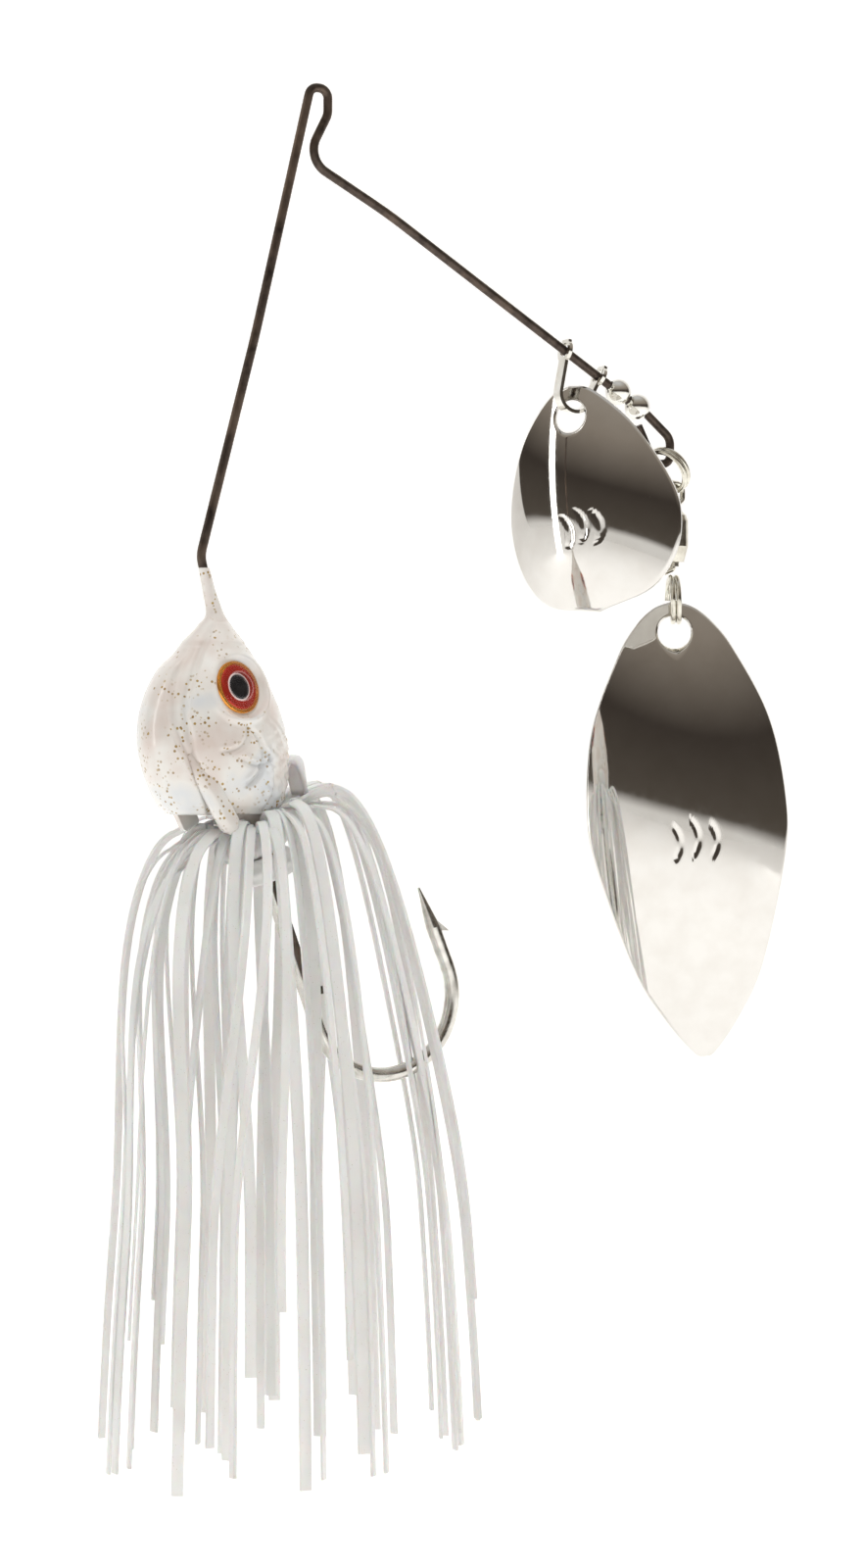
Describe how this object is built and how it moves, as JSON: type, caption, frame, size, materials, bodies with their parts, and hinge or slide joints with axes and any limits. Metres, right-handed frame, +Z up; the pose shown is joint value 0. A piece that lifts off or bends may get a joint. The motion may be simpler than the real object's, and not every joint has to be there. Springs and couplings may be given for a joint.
{
  "type": "spinnerbait",
  "caption": "Bent-wire fishing lure with a painted fish head, rubber skirt, single hook, and a round and a leaf-shaped spinner blade on a clevis and swivel.",
  "frame": {"origin": "inside top of the open line-tie bend, where the fishing line pulls", "axes": "+Z up, with the lure hanging from its line tie; the wire form lies in the XZ plane, blades on the +X side and the head's belly towards -X; -Y is the side with the blades' convex faces"},
  "size_m": [0.0799, 0.0402, 0.1458],
  "materials": {
    "wire": "dark drawn spring wire, satin",
    "hook_plating": "bright tin plating",
    "head_paint": "pearl white paint with gold glitter under clear coat",
    "iris": "red foil with a black pupil",
    "eye_dome": "clear domed resin",
    "skirt": "translucent pearl silicone",
    "collar": "soft white band",
    "bead": "polished nickel",
    "clevis": "bright nickel strip",
    "blade": "mirror nickel plate",
    "ring": "bright spring wire",
    "swivel": "bright nickel"
  },
  "bodies": {
    "frame": {"wire_form": "wire", "hook": "hook_plating", "trailer_keeper": "wire", "head": "head_paint", "eye_iris_left": "iris", "eye_iris_right": "iris", "eye_dome_left": "eye_dome", "eye_dome_right": "eye_dome", "skirt_root": "skirt", "skirt_collar": "collar", "skirt_bundle_01": "skirt", "skirt_bundle_02": "skirt", "skirt_bundle_03": "skirt", "skirt_bundle_04": "skirt", "skirt_bundle_05": "skirt", "skirt_bundle_06": "skirt", "skirt_bundle_07": "skirt", "skirt_bundle_08": "skirt", "skirt_bundle_09": "skirt", "skirt_bundle_10": "skirt", "skirt_bundle_11": "skirt", "skirt_bundle_12": "skirt"},
    "bead_lower": {"bead_lower": "bead"},
    "bead_upper": {"bead_upper": "bead"},
    "clevis": {"clevis": "clevis"},
    "colorado": {"colorado_blade": "blade"},
    "ring_upper": {"split_ring_upper": "ring"},
    "swivel": {"swivel_body": "swivel", "swivel_top_eye": "swivel", "swivel_bearing": "swivel"},
    "rotor": {"swivel_rotor": "swivel"},
    "ring_lower": {"split_ring_lower": "ring"},
    "willow": {"willow_blade": "blade"}
  },
  "joints": [
    {"name": "bead_spin", "type": "hinge", "parent": "frame", "child": "bead_lower", "pos_m": [0.03884, 0, -0.0307], "axis": [0.8536, 0, -0.521], "continuous": true},
    {"name": "bead_slide", "type": "slide", "parent": "frame", "child": "bead_upper", "axis": [-0.8536, 0, 0.521], "range_m": [0, 0.022]},
    {"name": "clevis_spin", "type": "hinge", "parent": "bead_upper", "child": "clevis", "pos_m": [0.0364, 0, -0.02921], "axis": [0.8536, 0, -0.521], "continuous": true},
    {"name": "colorado_swing", "type": "hinge", "parent": "clevis", "child": "colorado", "pos_m": [0.03056, 0, -0.03167], "axis": [0.5531, -0.8199, 0.1478], "range_deg": [-8, 25]},
    {"name": "ring_upper_swing", "type": "hinge", "parent": "frame", "child": "ring_upper", "pos_m": [0.04178, 0, -0.0353], "axis": [-0.309, 0.9511, 0], "range_deg": [-45, 25]},
    {"name": "swivel_swing", "type": "hinge", "parent": "ring_upper", "child": "swivel", "pos_m": [0.04296, 0.00038, -0.03745], "axis": [-0.8236, -0.2676, -0.5], "range_deg": [-45, 45]},
    {"name": "swivel_spin", "type": "hinge", "parent": "swivel", "child": "rotor", "pos_m": [0.04414, 0.00077, -0.045], "axis": [0, 0, 1], "continuous": true},
    {"name": "ring_lower_swing", "type": "hinge", "parent": "rotor", "child": "ring_lower", "pos_m": [0.04414, 0.00077, -0.04915], "axis": [0.4695, 0.8829, 0], "range_deg": [-45, 45]},
    {"name": "willow_swing", "type": "hinge", "parent": "ring_lower", "child": "willow", "pos_m": [0.04414, 0.00077, -0.05164], "axis": [0.8829, -0.4695, 0], "range_deg": [-45, 45]}
  ]
}
